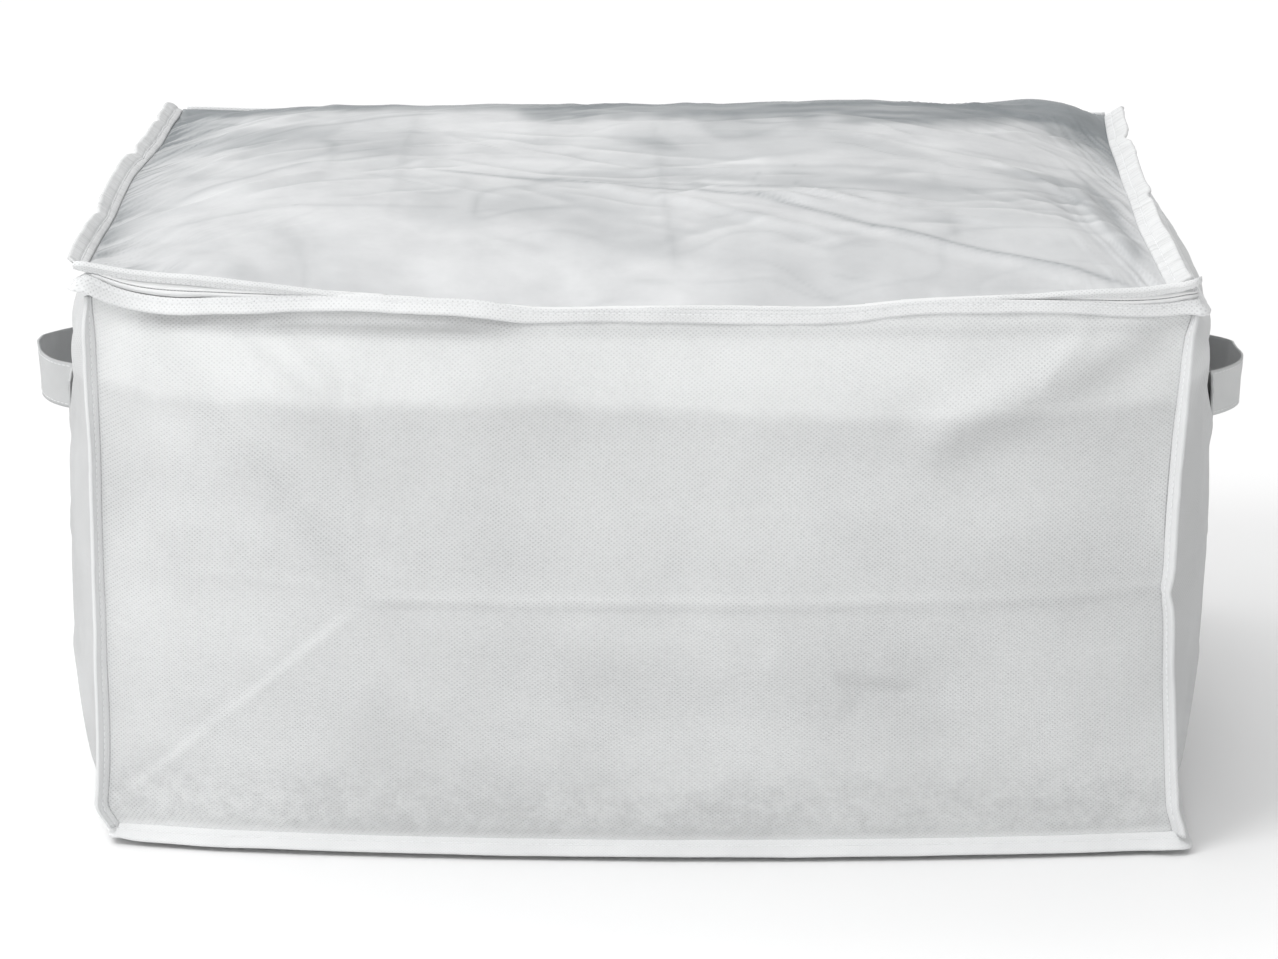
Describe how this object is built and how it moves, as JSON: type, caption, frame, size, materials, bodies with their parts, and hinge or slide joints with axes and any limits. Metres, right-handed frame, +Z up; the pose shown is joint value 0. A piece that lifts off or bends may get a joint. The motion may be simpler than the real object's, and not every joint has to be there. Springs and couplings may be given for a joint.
{
  "type": "under bed storage box",
  "caption": "Soft rectangular fabric storage box with a clear film lid zipped on three sides, bound outside seams and a webbing handle on each side.",
  "frame": {"origin": "middle of the base, on the floor under the flat bottom", "axes": "+X to the right along the width, +Y from the zipped front to the hinged rear, +Z up"},
  "size_m": [0.662, 0.49, 0.3304],
  "materials": {
    "panel_cloth": "white pin-bonded non-woven cloth",
    "binding_tape": "smooth white non-woven seam tape",
    "zip_tape": "white woven zip tape",
    "zip_coil": "white nylon coil",
    "film": "soft milky see-through film",
    "webbing": "white stitched handle webbing",
    "thread": "white polyester thread",
    "slider_metal": "white enamelled slider"
  },
  "bodies": {
    "bag": {"front_panel": "panel_cloth", "back_panel": "panel_cloth", "left_panel": "panel_cloth", "right_panel": "panel_cloth", "bottom_panel": "panel_cloth", "bottom_binding": "binding_tape", "rim_binding": "binding_tape", "rear_binding": "binding_tape", "corner_binding_front_left": "binding_tape", "corner_binding_front_right": "binding_tape", "corner_binding_rear_left": "binding_tape", "corner_binding_rear_right": "binding_tape", "zip_tape_lower": "zip_tape", "zip_coil_lower": "zip_coil", "zip_end_tacks": "thread", "handle_left_sewn_ends": "webbing", "handle_right_sewn_ends": "webbing", "handle_left_stitching": "thread", "handle_right_stitching": "thread", "bottom_stitching": "thread", "rim_stitching": "thread", "corner_stitching": "thread", "rear_stitching": "thread"},
    "lid": {"lid_film": "film", "lid_binding_front": "binding_tape", "lid_binding_left": "binding_tape", "lid_binding_right": "binding_tape", "zip_tape_upper": "zip_tape", "zip_coil_upper": "zip_coil", "lid_stitching": "thread"},
    "slider": {"zip_slider": "slider_metal"},
    "pull": {"zip_pull": "slider_metal"},
    "left_handle": {"handle_left_loop": "webbing"},
    "right_handle": {"handle_right_loop": "webbing"}
  },
  "joints": [
    {"name": "lid_open", "type": "hinge", "parent": "bag", "child": "lid", "pos_m": [0, 0.2246, 0.3012], "axis": [-1, 0, 0], "range_deg": [0, 180]},
    {"name": "zip_slide", "type": "slide", "parent": "bag", "child": "slider", "axis": [0, -1, 0], "range_m": [0, 0.395]},
    {"name": "zip_pull_turn", "type": "hinge", "parent": "slider", "child": "pull", "pos_m": [0.27827, 0.209, 0.2959], "axis": [0, 0, 1], "range_deg": [0, 180]},
    {"name": "left_handle_swing", "type": "hinge", "parent": "bag", "child": "left_handle", "pos_m": [-0.2982, 0, 0.196], "axis": [0, 1, 0], "range_deg": [-45, 45], "stiffness_Nm_per_rad": 0.01},
    {"name": "right_handle_swing", "type": "hinge", "parent": "bag", "child": "right_handle", "pos_m": [0.2982, 0, 0.196], "axis": [0, -1, 0], "range_deg": [-45, 45], "stiffness_Nm_per_rad": 0.01}
  ]
}
